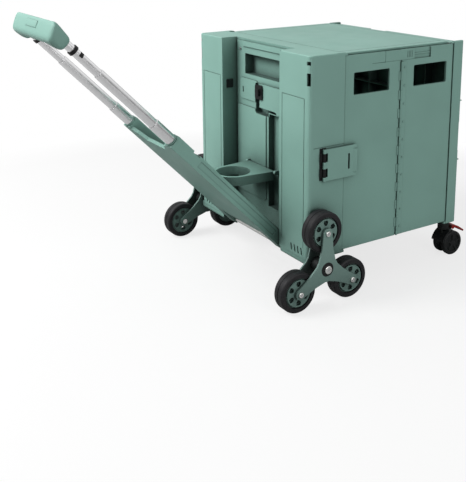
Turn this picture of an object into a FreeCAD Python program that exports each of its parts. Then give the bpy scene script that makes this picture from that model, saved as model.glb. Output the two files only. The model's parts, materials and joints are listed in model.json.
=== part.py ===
"""Collapsible stair-climbing crate trolley, open and standing on its wheels, handle reclined.

Crate frame used while building: x = 0 on the handle-side face, +x towards the front shell,
y = 0 on the symmetry plane (+y is the left side for someone holding the handle), z = 0 on
the underside of the shells. Every node is moved at export so that z = 0 is the ground and the
origin is the centre of the footprint.
Lengths in mm.
"""

import FreeCAD
import Part
import math
import os

V = FreeCAD.Vector

# overall
CRATE_H = 400.0
HALF_W = 207.0
REAR_D = 83.0
FRONT_X = 373.0
CRATE_L = 405.0
GROUND_CLEAR = 80.0
X_SHIFT = 9.87
WALL = 3.0
CORNER_R = 10.0

# folding side walls
PANEL_T = 5.0
PANEL_OUT = 205.5
PANEL_BOTTOM = 5.5
PANEL_TOP = 395.0
END_GAP = 2.9
MID_OFFSET = 1.0
PIN_R = 1.5
RUN = 0.05
REAR_PIVOT_X = REAR_D + END_GAP
FRONT_PIVOT_X = FRONT_X - END_GAP
MID_X = (REAR_D + FRONT_X) / 2
PIVOT_Y = PANEL_OUT - PANEL_T / 2
MID_Y = PANEL_OUT + MID_OFFSET
KNUCKLE_R = 2.0
MID_PIN_R = 1.0
EAR_REACH = 2.6
PIN_SEAT = 12.0

# hand windows and sliding bridge locks
WINDOW_Z = (317.0, 360.5)
REAR_WINDOW_X = (106.0, 197.0)
FRONT_WINDOW_X = (262.0, 354.0)
LOCK_X = (185.6, 263.0)
LOCK_Z = 374.0
LOCK_T = 2.6
LOCK_TRAVEL = 43.5
LOCK_RAIL_Z = (382.0, 385.0)
RECEIVER_X = 152.0
STRIP_TOP = LOCK_Z - 3
SEAM_HALF = 0.2

# lid and floor board
LID_T = 4.4
LID_KNUCKLE_R = 3.0
LID_HALF = 193.5
LID_WIDE_HALF = 199.8
LID_PIVOT = (73.5, 397.0)
LID_END_X = 371.0
FLOOR_T = 4.0
FLOOR_LOW = 0.6
FLOOR_KNUCKLE_R = 3.2
FLOOR_HALF = 171.0
FLOOR_PIVOT = (65.5, 3.4)
FLOOR_END_X = 371.0

# rear shell and its recess for the handle
REAR_RISE = 2.0
RIM_ROUND = 2.5
RECESS_HALF = 108.5
RECESS_D = 38.0
PLUG_HALF = 96.0
PLUG_Z = (40.0, 386.0)
CATCH_X = (10.0, 26.0)
CATCH_Z = (291.0, 309.0)

# main axle and the tri-star wheel clusters
AXLE_X = 15.0
AXLE_Z = -4.0
AXLE_R = 6.0
STAR_R = 72.0
WHEEL_R = 40.0
RIM_R = 30.0
WHEEL_Y = (216.0, 242.0)
INNER_PLATE_Y = (210.0, 213.5)
OUTER_PLATE_Y = (244.5, 248.5)
BOLT_R = 4.0

# handle, built upright in the recess and then reclined about the main axle
RECLINE = 44.5
RAIL_OUT = 106.0
RAIL_IN = 78.0
PANEL_DEPTH = 26.0
PANEL_FACE = 8.5
EYE_R = 10.5
PANEL_LEN = 353.0
TUBE_Y = 91.0
TUBE_D = 13.0
OUTER_TUBE_R = 11.0
MID_TUBE_R = 9.4
INNER_TUBE_R = 7.8
TUBE_WALL = 1.4
OUTER_TUBE_S = (160.0, 405.0)
MID_TUBE_S = (362.0, 549.0)
INNER_TUBE_S = (508.0, 650.0)
RING_S = (607.5, 614.0)
GRIP_S = 626.0
GRIP_SPLIT = 13.0
BUTTON_DEPTH = (7.0, 19.0)
BUTTON_HALF = 30.0

# cup holder and the clip block above it
CLIP_FACE = 31.0
CUP_PIN_R = 2.0
CUP_PIVOT = (29.5, 134.0)
CUP_R = 36.0
CUP_CENTRE_X = -41.0
CUP_T = 19.0

# foil on the front face
REFLECTOR_SEAT = CRATE_L - 1.5

# casters
CASTER_X = 388.0
CASTER_Y = 186.0
CASTER_TRAIL = 15.0
CASTER_WHEEL_R = 27.0
CASTER_WHEEL_Y = (7.0, 17.0)
WHEEL_PIN_R = 3.0
STEM_R = 4.0
STEM_TOP = 16.0
CROWN_Z = (-20.0, -4.0)
PEDAL_PIN_R = 2.0

# side latches
LATCH_PIVOT = (33.0, 210.9)
LATCH_Z = (158.0, 221.0)
LATCH_END_X = 112.0
LATCH_PIN_R = 1.6

os.makedirs("parts", exist_ok=True)


# ---------------------------------------------------------------- helpers

def box(x0, x1, y0, y1, z0, z1):
    return Part.makeBox(x1 - x0, y1 - y0, z1 - z0, V(x0, y0, z0))


def rod(radius, start, end):
    axis = V(*end) - V(*start)
    return Part.makeCylinder(radius, axis.Length, V(*start), axis)


def tube(outer, inner, start, end):
    return rod(outer, start, end).cut(rod(inner, start, end))


def join(shapes):
    whole = shapes[0]
    for shape in shapes[1:]:
        whole = whole.fuse(shape)
    return whole.removeSplitter()


def mirror(shape):
    return shape.mirror(V(0, 0, 0), V(0, 1, 0))


def both(shape):
    return [shape, mirror(shape)]


def prism(points, axis, start, end):
    """Extrude a closed outline. axis 'y': points are (x, z); 'x': (y, z); 'z': (x, y)."""
    place = {
        "x": lambda a, b: V(start, a, b),
        "y": lambda a, b: V(a, start, b),
        "z": lambda a, b: V(a, b, start),
    }[axis]
    along = {"x": V(1, 0, 0), "y": V(0, 1, 0), "z": V(0, 0, 1)}[axis]
    corners = [place(a, b) for a, b in points]
    face = Part.Face(Part.makePolygon(corners + corners[:1]))
    return face.extrude(along * (end - start))


def round_edges(shape, radius, keep):
    edges = [edge for edge in shape.Edges if keep(edge)]
    return shape.makeFillet(radius, edges)


def runs_along(edge, axis):
    ends = [vertex.Point for vertex in edge.Vertexes]
    if len(ends) < 2:
        return False
    gap = ends[1] - ends[0]
    across = [abs(v) for name, v in zip("xyz", gap) if name != axis]
    return gap.Length > 0.5 and max(across) < 1e-6


def rounded_box(x0, x1, y0, y1, z0, z1, radius, axis):
    return round_edges(box(x0, x1, y0, y1, z0, z1), radius, lambda e: runs_along(e, axis))


def export(name, shapes):
    solids = []
    for shape in shapes if isinstance(shapes, list) else [shapes]:
        solids.extend(shape.Solids)
    whole = solids[0] if len(solids) == 1 else Part.makeCompound(solids)
    whole = whole.copy()
    whole.translate(V(X_SHIFT, 0, GROUND_CLEAR))
    whole.exportStep("parts/" + name + ".step")


# ---------------------------------------------------------------- rear shell

def axle_housing():
    """Block under each post that carries the main axle."""
    block = rounded_box(1, 33, 112, HALF_W, -13, 20, 6.0, "y")
    inside_shell = box(0, 40, 100, HALF_W + 1, WALL + 1, 30)
    return block.cut(inside_shell)


def rear_shell_blank():
    """Open box with rounded outer corners and the walls of the handle recess."""
    top = CRATE_H + REAR_RISE
    outer = box(0, REAR_D, -HALF_W, HALF_W, 0, top)
    outer = round_edges(outer, CORNER_R, lambda e: runs_along(e, "z") and e.Vertexes[0].X < 1)
    outer = round_edges(
        outer, RIM_ROUND,
        lambda e: e.BoundBox.ZMin > top - 1 and e.BoundBox.XMax < REAR_D - 0.5,
    )
    hollow = box(WALL, REAR_D + 1, -HALF_W + WALL, HALF_W - WALL, WALL, top - WALL)
    wall = box(0, RECESS_D, RECESS_HALF, RECESS_HALF + WALL, 0, top)
    back = box(RECESS_D, RECESS_D + WALL, -RECESS_HALF - WALL, RECESS_HALF + WALL, 0, top)
    shell = join([outer.cut(hollow)] + both(wall) + [back])
    rib_t, rib_end = 2.0, 60.0
    for y in (84.0, 130.0, 185.0):
        rib = box(RECESS_D + 2, rib_end, y, y + rib_t, WALL - 1, CRATE_H)
        shell = join([shell] + both(rib))
    return shell.cut(box(-1, RECESS_D, -RECESS_HALF, RECESS_HALF, -20, top + 8))


def pivot_room():
    """Cuts that leave the lid knuckle and the floor board knuckle free to turn."""
    lid_x, floor_x = LID_PIVOT[0] - 5, FLOOR_PIVOT[0] - 5
    lid = box(lid_x, REAR_D + 1, -LID_HALF - 1, LID_HALF + 1, CRATE_H - 15, CRATE_H + 5)
    board = box(floor_x, REAR_D + 1, -FLOOR_HALF - 2, FLOOR_HALF + 2, -1, 30)
    return [lid, board]


def rear_ears():
    """Ears that hold the lid pins, the floor board pins and the side wall pins."""
    y0, y1 = PANEL_OUT - PANEL_T - 1, PANEL_OUT + 1
    x0, x1 = REAR_D - 4, REAR_PIVOT_X + EAR_REACH
    lid = box(LID_PIVOT[0] - 8, REAR_D, LID_HALF + 1, HALF_W - 1, CRATE_H - 15, CRATE_H + REAR_RISE)
    board = box(FLOOR_PIVOT[0] - 8, REAR_D - 7, FLOOR_HALF + 1, FLOOR_HALF + 8, 0, 14)
    top = box(x0, x1, y0, y1, PANEL_TOP + 0.5, CRATE_H + 0.5)
    low = box(x0, x1, y0, y1, 0, PANEL_BOTTOM - 0.5)
    return both(lid) + both(board) + both(top) + both(low)


def post_marks():
    """Pressed outlines, corner ports, foot vents, clip slots and the side seam of the posts."""
    depth, line = 0.8, 1.4
    inner, outer, low, high = 117.0, 189.0, 22.0, 320.0
    cuts = []
    for y in (inner, outer):
        cuts += both(box(-1, depth, y, y + line, low, high))
    cuts += both(box(-1, depth, inner, outer + line, high - line, high))
    port_y, port_back = (197.0, 204.5), 8.0
    for z0, z1 in ((384.0, 391.0), (345.0, 369.0)):
        cuts += both(box(-1, port_back, port_y[0], port_y[1], z0, z1))
    vent_low, vent_high, lean, slot = 6.0, 20.0, 3.0, 3.4
    for k in range(4):
        y = 148.0 + 11.0 * k
        outline = [(y, vent_high), (y + slot, vent_high), (y + lean + slot, vent_low),
                   (y + lean, vent_low)]
        cuts += both(prism(outline, "x", -1, 6))
    cuts += both(box(CATCH_X[0] + 2, CATCH_X[1] - 2, RECESS_HALF - 1, RECESS_HALF + WALL + 1,
                     CATCH_Z[0] + 2, CATCH_Z[1] - 2))
    cuts += both(box(CORNER_R, REAR_D + 1, HALF_W - depth, HALF_W + 1, LATCH_Z[1] + 3,
                     LATCH_Z[1] + 3 + line))
    return cuts


def make_rear_shell():
    shell = rear_shell_blank()
    for cut in pivot_room():
        shell = shell.cut(cut)
    shell = join([shell] + rear_ears() + both(axle_housing()))
    bore = rod(AXLE_R + RUN, (AXLE_X, -HALF_W - 5, AXLE_Z), (AXLE_X, HALF_W + 5, AXLE_Z))
    shell = shell.cut(Part.makeCompound([bore] + post_marks()))
    for pin in rear_pins():
        shell = shell.cut(pin)
    # opening in the back wall that the trim panel closes
    y, (low, high) = PLUG_HALF, PLUG_Z
    shell = shell.cut(box(RECESS_D - 1, RECESS_D + WALL + 1, -y, y, low, high))
    return shell


def rear_pins():
    x, y = REAR_PIVOT_X, PIVOT_Y
    top = rod(PIN_R, (x, y, PANEL_TOP - PIN_SEAT), (x, y, CRATE_H))
    low = rod(PIN_R, (x, y, 1), (x, y, PANEL_BOTTOM + PIN_SEAT))
    lid = rod(PIN_R, (LID_PIVOT[0], LID_HALF - 9, LID_PIVOT[1]),
              (LID_PIVOT[0], HALF_W - WALL, LID_PIVOT[1]))
    board = rod(PIN_R, (FLOOR_PIVOT[0], FLOOR_HALF - 9, FLOOR_PIVOT[1]),
                (FLOOR_PIVOT[0], FLOOR_HALF + 8, FLOOR_PIVOT[1]))
    pins = []
    for pin in (top, low, lid, board):
        pins += both(pin)
    return pins


def bent_channel(x0, x1, grow):
    """Channel beside and under the clip block that bends into the long channel; grow widens it."""
    y_left, y_right, z_top, leg_w, foot_z, corner = 30, -54, 313, 21, (246, 262), 7
    leg = rounded_box(x0, x1, y_left - leg_w - grow, y_left + grow, foot_z[0] - grow,
                      z_top + grow, corner, "x")
    foot = rounded_box(x0, x1, y_right - grow, y_left + grow, foot_z[0] - grow,
                       foot_z[1] + grow, corner, "x")
    return leg.fuse(foot)


def make_recess_panel():
    """Trim panel in the back of the recess: grip pocket, clip block, deep channel, raised field."""
    back = RECESS_D
    face = back - 2.0
    gap = 0.2
    plug = box(back, back + WALL, -PLUG_HALF + gap, PLUG_HALF - gap, PLUG_Z[0] + gap,
               PLUG_Z[1] - gap)
    panel = box(face, back, -104, 104, 8, 396).fuse(plug)
    lip = box(face - 3, face, -78, 78, 385, 396)
    field = rounded_box(face - 2, face, -10, 100, 60, 255, 6, "x")
    pad = rounded_box(face - 2, face, 20, 90, 270, 316, 9, "x")
    block = rounded_box(CLIP_FACE, face, -70, 29, 257, 313, 9, "x")
    panel = join([panel, lip, field, pad, block])
    skin, pocket_back, channel_back = 2.5, back + 22.0, back + 14.0
    bend = bent_channel(back, channel_back, skin)
    panel = join([panel, bend]).cut(bent_channel(CLIP_FACE - 1, channel_back - skin, 0))
    for y0, y1, z0, z1, end in ((-72, 72, 326, 370, pocket_back), (-54, -18, 50, 252, channel_back)):
        tray = box(back, end, y0 - skin, y1 + skin, z0 - skin, z1 + skin)
        panel = join([panel, tray]).cut(box(face - 6, end - skin, y0, y1, z0, z1))
    keyhole = box(face - 6, face + 1, 76, 79.5, 284, 297)
    seam = box(face - 6, face - 1, -60, 88, 319, 320.2)
    panel = panel.cut(keyhole).cut(seam)
    # lugs and pins for the cup holder
    x, z = CUP_PIVOT
    y_pin, y_in, y_out, lug_r = 42.0, 50.0, 56.0, 4.5
    lug = join([rod(lug_r, (x, y_in, z), (x, y_out, z)),
                box(x, face + 1, y_in, y_out, z - lug_r, z + lug_r)])
    pin = rod(CUP_PIN_R, (x, y_pin, z), (x, y_out, z))
    return join([panel] + both(lug) + both(pin))


def make_catches():
    """Sprung hook on the clip block and a small clip on the inner wall of each post."""
    plate = rounded_box(CLIP_FACE - 3, CLIP_FACE, -4, 22, 280, 310, 3, "x")
    hook = join([
        box(CLIP_FACE - 8, CLIP_FACE - 3, 3, 15, 288, 292),
        box(CLIP_FACE - 8, CLIP_FACE - 6, 3, 15, 288, 302),
    ])
    inner = RECESS_HALF - 1.8
    side = join([
        box(CATCH_X[0], CATCH_X[1], inner, RECESS_HALF, CATCH_Z[0], CATCH_Z[1]),
        box(CATCH_X[0] + 2, CATCH_X[1] - 2, RECESS_HALF, RECESS_HALF + WALL,
            CATCH_Z[0] + 2.2, CATCH_Z[1] - 2.2),
    ])
    return [join([plate, hook])] + both(side)


def screws():
    face = RECESS_D - 2.0
    head_r, head_t = 3.2, 1.4
    heads = []
    for z in (24.0, 378.0):
        for y in (-90.0, 90.0):
            heads.append(rod(head_r, (face - head_t, y, z), (face, y, z)))
    return heads


# ---------------------------------------------------------------- side walls

def panel_blank(x0, x1, rear, knuckle_gap):
    """Side wall panel from x0 to x1 with a rounded pivot end and a trimmed middle end."""
    inner = PANEL_OUT - PANEL_T
    px = REAR_PIVOT_X if rear else FRONT_PIVOT_X
    body = box(x0, x1, inner, PANEL_OUT, PANEL_BOTTOM, PANEL_TOP)
    end = rod(PANEL_T / 2, (px, PIVOT_Y, PANEL_BOTTOM), (px, PIVOT_Y, PANEL_TOP))
    # stiffening ledge near the bottom of the inner side
    pivot_side, seam_side, ledge_depth = 14.0, 8.0, 6.0
    ledge_x = (x0 + pivot_side, x1 - seam_side) if rear else (x0 + seam_side, x1 - pivot_side)
    ledge = box(ledge_x[0], ledge_x[1], inner - ledge_depth, inner, PANEL_BOTTOM + WALL + 0.4,
                PANEL_BOTTOM + 2 * WALL)
    body = join([body, end, ledge])
    body = body.cut(rod(KNUCKLE_R + knuckle_gap, (MID_X, MID_Y, PANEL_BOTTOM - 1),
                        (MID_X, MID_Y, PANEL_TOP + 1)))
    seat = PIN_SEAT + 0.5
    for low, high in ((PANEL_BOTTOM - 1, PANEL_BOTTOM + seat), (PANEL_TOP - seat, PANEL_TOP + 1)):
        body = body.cut(rod(PIN_R + RUN, (px, PIVOT_Y, low), (px, PIVOT_Y, high)))
    return body


def knuckle_spans():
    """Alternate knuckle spans of the middle hinge as (low, high, on_rear_panel)."""
    count, play = 19, 0.2
    step = (STRIP_TOP - PANEL_BOTTOM) / count
    spans = []
    for k in range(count):
        low = PANEL_BOTTOM + step * k
        spans.append((low + play, low + step - play, k % 2 == 1))
    return spans


def window(x0, x1):
    return rounded_box(x0, x1, PANEL_OUT - 15, PANEL_OUT + 10, WINDOW_Z[0], WINDOW_Z[1], 3.0, "y")


def make_rear_side():
    body = panel_blank(REAR_PIVOT_X, MID_X - SEAM_HALF, True, 1.4)
    web_reach, relief = 6.0, 0.2
    for low, high, on_rear in knuckle_spans():
        if on_rear:
            web = box(MID_X - web_reach, MID_X, MID_Y - KNUCKLE_R, MID_Y - relief, low, high)
            body = body.fuse(web)
            body = body.fuse(rod(KNUCKLE_R, (MID_X, MID_Y, low), (MID_X, MID_Y, high)))
    body = body.removeSplitter()
    body = body.cut(rod(MID_PIN_R + RUN, (MID_X, MID_Y, 0), (MID_X, MID_Y, CRATE_H)))
    # the bridge lock lies in this gap, and swings out of it when the wall folds
    low = LOCK_Z - 0.4
    gap = box(LOCK_X[0] - 0.6, MID_X + 1, PANEL_OUT - PANEL_T - 1, PANEL_OUT + 10, low,
              PANEL_TOP + 1)
    receiver_line = box(RECEIVER_X, LOCK_X[0], PANEL_OUT - 0.6, PANEL_OUT + 1, low - 0.2, low + 0.8)
    return body.cut(Part.makeCompound([window(*REAR_WINDOW_X), gap, receiver_line]))


def make_front_side():
    body = panel_blank(MID_X + SEAM_HALF, FRONT_PIVOT_X, False, 0.4)
    pocket_y = PANEL_OUT - LOCK_T - 0.2
    pocket_end = LOCK_X[1] + LOCK_TRAVEL
    pocket = box(MID_X - 1, pocket_end + 1, pocket_y, PANEL_OUT + 10, LOCK_Z - 0.4, PANEL_TOP + 1)
    body = body.cut(Part.makeCompound([window(*FRONT_WINDOW_X), pocket]))
    rail_t, rail_start = 1.2, MID_X + 6
    rail = box(rail_start, pocket_end, pocket_y, pocket_y + rail_t, LOCK_RAIL_Z[0], LOCK_RAIL_Z[1])
    return join([body, rail])


def make_hinge_strip():
    """Riveted steel hinge strip of the middle seam with its own knuckles and pin."""
    strip_x, strip_t = (MID_X + 2.6, MID_X + 13), 0.8
    parts = [box(strip_x[0], strip_x[1], PANEL_OUT, PANEL_OUT + strip_t, PANEL_BOTTOM + 1, STRIP_TOP)]
    for low, high, on_rear in knuckle_spans():
        if not on_rear:
            parts.append(rod(KNUCKLE_R, (MID_X, MID_Y, low), (MID_X, MID_Y, high)))
            parts.append(box(MID_X, MID_X + 4, PANEL_OUT, MID_Y - 0.2, low, high))
    parts.append(rod(MID_PIN_R, (MID_X, MID_Y, PANEL_BOTTOM + 0.2), (MID_X, MID_Y, STRIP_TOP)))
    rivets, rivet_r, rivet_x = 10, 1.9, MID_X + 9
    first, last = PANEL_BOTTOM + 18, STRIP_TOP - 12
    for k in range(rivets):
        z = first + k * (last - first) / (rivets - 1)
        parts.append(rod(rivet_r, (rivet_x, PANEL_OUT + 0.5, z), (rivet_x, PANEL_OUT + 1.6, z)))
    return join(parts)


def make_bridge_lock():
    low_y, play = PANEL_OUT - LOCK_T, 0.2
    bar = rounded_box(LOCK_X[0], LOCK_X[1], low_y, PANEL_OUT, LOCK_Z, PANEL_TOP, 2.0, "y")
    groove = box(LOCK_X[0] - 1, LOCK_X[1] + 1, low_y - 1, low_y + 1.3,
                 LOCK_RAIL_Z[0] - play, LOCK_RAIL_Z[1] + play)
    first, pitch, slot, margin = LOCK_X[1] - 20, 4.0, 1.4, 4.0
    grips = []
    for k in range(4):
        x = first + pitch * k
        grips.append(box(x, x + slot, PANEL_OUT - 0.6, PANEL_OUT + 1, LOCK_Z + margin,
                         PANEL_TOP - margin))
    return bar.cut(groove).cut(Part.makeCompound(grips))


# ---------------------------------------------------------------- lid and floor

def lid_outline():
    """Plan outline: narrow between the hinge ears and at the nose, wide between the side walls."""
    wide_start, wide_end, nose = REAR_PIVOT_X + 5, LID_END_X - 10, LID_HALF - 6
    half = [(LID_PIVOT[0], LID_HALF), (wide_start, LID_HALF), (wide_start, LID_WIDE_HALF),
            (wide_end, LID_WIDE_HALF), (LID_END_X, nose)]
    return half + [(x, -y) for x, y in reversed(half)]


def make_lid():
    x, z = LID_PIVOT
    top = CRATE_H
    low = top - LID_T
    corner_r, rim_r = 7.0, 1.2
    slab = prism(lid_outline(), "z", low, top)
    slab = round_edges(slab, corner_r, lambda e: runs_along(e, "z") and e.Vertexes[0].X > MID_X)
    slab = round_edges(
        slab, rim_r,
        lambda e: e.BoundBox.ZMin > top - 0.1 and e.BoundBox.XMin > REAR_PIVOT_X,
    )
    knuckle = rod(LID_KNUCKLE_R, (x, -LID_HALF, z), (x, LID_HALF, z))
    slab = join([slab, knuckle])
    for pin in both(rod(PIN_R + RUN, (x, LID_HALF - 9.5, z), (x, LID_HALF + 1, z))):
        slab = slab.cut(pin)
    # pressed border line
    inset, line, depth = 12.0, 1.4, 0.6
    x0, x1, half = x + inset, LID_END_X - inset, LID_HALF - inset
    border = box(x0, x1, -half, half, top - depth, top + 5)
    inner = box(x0 + line, x1 - line, -half + line, half - line, top - 5, top + 6)
    return slab.cut(border.cut(inner))


def make_floor():
    x, z = FLOOR_PIVOT
    low, high = FLOOR_LOW, FLOOR_LOW + FLOOR_T
    slab = box(x, FLOOR_END_X, -FLOOR_HALF, FLOOR_HALF, low, high)
    slab = join([slab, rod(FLOOR_KNUCKLE_R, (x, -FLOOR_HALF, z), (x, FLOOR_HALF, z))])
    for pin in both(rod(PIN_R + RUN, (x, FLOOR_HALF - 9.5, z), (x, FLOOR_HALF + 1, z))):
        slab = slab.cut(pin)
    # shallow trays between the ribs of the underside
    trays, first, pitch, length, depth, spine, edge = 5, 100.0, 52.0, 44.0, 1.8, 6.0, 12.0
    cuts = []
    for k in range(trays):
        x0 = first + pitch * k
        cuts += both(box(x0, x0 + length, spine, FLOOR_HALF - edge, low - 1, low + depth))
    finger_r, finger_x = 11.0, FLOOR_END_X - 26
    cuts.append(rod(finger_r, (finger_x, 0, low - 1), (finger_x, 0, high + 1)))
    return slab.cut(Part.makeCompound(cuts))


# ---------------------------------------------------------------- front shell

def front_pins():
    x, y = FRONT_PIVOT_X, PIVOT_Y
    top = rod(PIN_R, (x, y, PANEL_TOP - PIN_SEAT), (x, y, CRATE_H - 2))
    low = rod(PIN_R, (x, y, 1), (x, y, PANEL_BOTTOM + PIN_SEAT))
    return both(top) + both(low)


def front_shell_blank():
    """Shallow tray with rounded outer corners; its middle clears the lid and the floor board."""
    outer = box(FRONT_X, CRATE_L, -HALF_W, HALF_W, 0, CRATE_H)
    outer = round_edges(
        outer, CORNER_R,
        lambda e: runs_along(e, "z") and e.Vertexes[0].X > CRATE_L - 1,
    )
    outer = round_edges(outer, RIM_ROUND, lambda e: e.BoundBox.ZMin > CRATE_H - 1
                        and e.BoundBox.XMin > FRONT_X - 0.5 and e.BoundBox.XMax > FRONT_X + 0.5)
    x0, x1 = FRONT_X - 1, CRATE_L + 1
    outer = outer.cut(box(x0, x1, -LID_WIDE_HALF - 1, LID_WIDE_HALF + 1, PANEL_TOP, CRATE_H + 5))
    outer = outer.cut(box(x0, x1, -FLOOR_HALF - 1, FLOOR_HALF + 1, -5, PANEL_BOTTOM))
    hollow = box(x0, CRATE_L - WALL, -HALF_W + WALL, HALF_W - WALL,
                 PANEL_BOTTOM + WALL, PANEL_TOP - WALL)
    rib_t, rib_start = 2.0, FRONT_X + 6
    ribs = []
    for y in (60.0, 120.0):
        ribs += both(box(rib_start, CRATE_L - 1, y, y + rib_t, PANEL_BOTTOM + 1, PANEL_TOP - 1))
    for z in (140.0, 270.0):
        ribs.append(box(rib_start, CRATE_L - 1, -HALF_W + 1, HALF_W - 1, z, z + rib_t))
    return join([outer.cut(hollow)] + ribs)


def front_face_marks():
    """Fold lines, reflector seat, hand notch, corner ports, foot slots and latch notches."""
    cuts = []
    line_half, line_depth = 1.4, 1.0
    strokes = [((-174, 330), (197, 52)), ((-53, 282), (45, 341))]
    for (y0, z0), (y1, z1) in strokes:
        length = math.hypot(y1 - y0, z1 - z0)
        ny, nz = (z0 - z1) / length * line_half, (y1 - y0) / length * line_half
        groove = [(y0 + ny, z0 + nz), (y1 + ny, z1 + nz), (y1 - ny, z1 - nz), (y0 - ny, z0 - nz)]
        cuts.append(prism(groove, "x", CRATE_L - line_depth, CRATE_L + 1))
    cuts.append(prism([(-126, 356), (-21, 356), (-124, 325)], "x", REFLECTOR_SEAT, CRATE_L + 1))
    cuts.append(rounded_box(CRATE_L - 8, CRATE_L + 1, 32, 88, PANEL_TOP - 14, PANEL_TOP + 4,
                            3.0, "x"))
    slot_back = CRATE_L - 6
    for z in (338.0, 354.0, 370.0, 24.0):
        cuts += both(box(slot_back, CRATE_L + 1, 188, 199, z, z + 7))
    for y in (38.0, 47.0, 56.0):
        cuts.append(box(slot_back, CRATE_L + 1, y, y + 5, 6, 13))
    cuts += both(box(slot_back, CRATE_L + 1, HALF_W - 12, HALF_W + 1, LATCH_Z[0] + 2, LATCH_Z[1] + 3))
    return cuts


def make_front_shell():
    x0, x1 = FRONT_PIVOT_X - EAR_REACH, FRONT_X + 4
    y0, y1 = PANEL_OUT - PANEL_T - 1, PANEL_OUT + 1
    top_ear = box(x0, x1, LID_WIDE_HALF + 0.5, y1, PANEL_TOP + 0.5, CRATE_H - 1.5)
    low_ear = box(x0, x1, y0, y1, 0, PANEL_BOTTOM - 0.5)
    shell = join([front_shell_blank()] + both(top_ear) + both(low_ear))
    for pin in front_pins():
        shell = shell.cut(pin)
    shell = shell.cut(Part.makeCompound(front_face_marks()))
    boss_top, boss_r = PANEL_BOTTOM + 15, 9.0
    boss = join([
        rod(boss_r, (CASTER_X, CASTER_Y, 0), (CASTER_X, CASTER_Y, boss_top)),
        box(CASTER_X - 2, CRATE_L - 1, CASTER_Y - 8, CASTER_Y + 8, 0, boss_top),
    ])
    shell = join([shell] + both(boss))
    for hole in both(rod(STEM_R, (CASTER_X, CASTER_Y, -1), (CASTER_X, CASTER_Y, STEM_TOP))):
        shell = shell.cut(hole)
    return shell


def make_reflector():
    outline = [(-125.2, 355.4), (-24.5, 355.4), (-123.3, 326.2)]
    return prism(outline, "x", REFLECTOR_SEAT, CRATE_L + 0.2)


def make_caster_sockets():
    """Black mounting plates with the fixed swivel stems."""
    half_x, half_y, plate_t = 13.0, 12.0, 3.0
    plate = rounded_box(CASTER_X - half_x, CASTER_X + half_x, CASTER_Y - half_y,
                        CASTER_Y + half_y, -plate_t, 0, 4.0, "z")
    stem = rod(STEM_R, (CASTER_X, CASTER_Y, CROWN_Z[0]), (CASTER_X, CASTER_Y, STEM_TOP))
    return both(join([plate, stem]))


# ---------------------------------------------------------------- casters

def caster_wheel_centre():
    return CASTER_X + CASTER_TRAIL, -GROUND_CLEAR + CASTER_WHEEL_R


def make_caster_fork():
    """Crown on the stem, central spine, guard plate and a hood over both wheels."""
    x, y = CASTER_X, CASTER_Y
    wx, wz = caster_wheel_centre()
    low, high = CROWN_Z
    spine_half = 3.0
    crown = rod(12.0, (x, y, low), (x, y, high))
    outline = [(x - 11, low), (x + 12, low), (wx + 6, wz), (wx - 6, wz - 2)]
    spine = prism(outline, "y", y - spine_half, y + spine_half)
    guard_r, hood_r, hood_in = CASTER_WHEEL_R + 4, CASTER_WHEEL_R + 5, CASTER_WHEEL_R + 2
    guard = rod(guard_r, (wx, y - spine_half, wz), (wx, y + spine_half, wz))
    guard = guard.common(box(wx - 45, wx + 8, y - 20, y + 20, wz, wz + 45))
    half = CASTER_WHEEL_Y[1]
    hood = tube(hood_r, hood_in, (wx, y - half, wz), (wx, y + half, wz))
    hood = hood.common(box(wx - 45, wx - 2, y - 20, y + 20, wz + 6, wz + 45))
    hub = rod(6.5, (wx, y - CASTER_WHEEL_Y[0] + 0.5, wz), (wx, y + CASTER_WHEEL_Y[0] - 0.5, wz))
    fork = join([crown, spine, guard, hood, hub])
    fork = fork.cut(rod(STEM_R + RUN, (x, y, low - 10), (x, y, 0)))
    fork = fork.cut(rod(WHEEL_PIN_R + RUN, (wx, y - 10, wz), (wx, y + 10, wz)))
    px, pz = pedal_pivot()
    fork = fork.fuse(rod(5.0, (px, y - spine_half, pz), (px, y + spine_half, pz)))
    fork = fork.cut(rod(PEDAL_PIN_R + RUN, (px, y - 10, pz), (px, y + 10, pz))).removeSplitter()
    return fork


def pedal_pivot():
    wx, wz = caster_wheel_centre()
    return wx + 4, wz + CASTER_WHEEL_R + 8


def make_caster_wheels():
    """Twin wheels fixed on one axle, with a ring groove in each outer face."""
    y = CASTER_Y
    wx, wz = caster_wheel_centre()
    inner, outer = CASTER_WHEEL_Y
    parts = [rod(WHEEL_PIN_R, (wx, y - outer + 0.5, wz), (wx, y + outer - 0.5, wz))]
    for sign in (-1, 1):
        face = y + sign * outer
        disc = rod(CASTER_WHEEL_R, (wx, y + sign * inner, wz), (wx, face, wz))
        disc = round_edges(disc, 2.5, lambda e: True)
        groove_r, boss_r, groove_depth = 20.0, 7.0, 2.5
        disc = disc.cut(tube(groove_r, boss_r, (wx, face - groove_depth, wz),
                             (wx, face + groove_depth, wz)))
        for k in range(5):
            spoke = box(wx - 1.6, wx + 1.6, min(face, face - sign * groove_depth),
                        max(face, face - sign * groove_depth), wz + boss_r - 1, wz + groove_r + 1)
            spoke.rotate(V(wx, y, wz), V(0, 1, 0), 72.0 * k)
            disc = disc.fuse(spoke)
        parts.append(disc)
    return join(parts)


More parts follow.
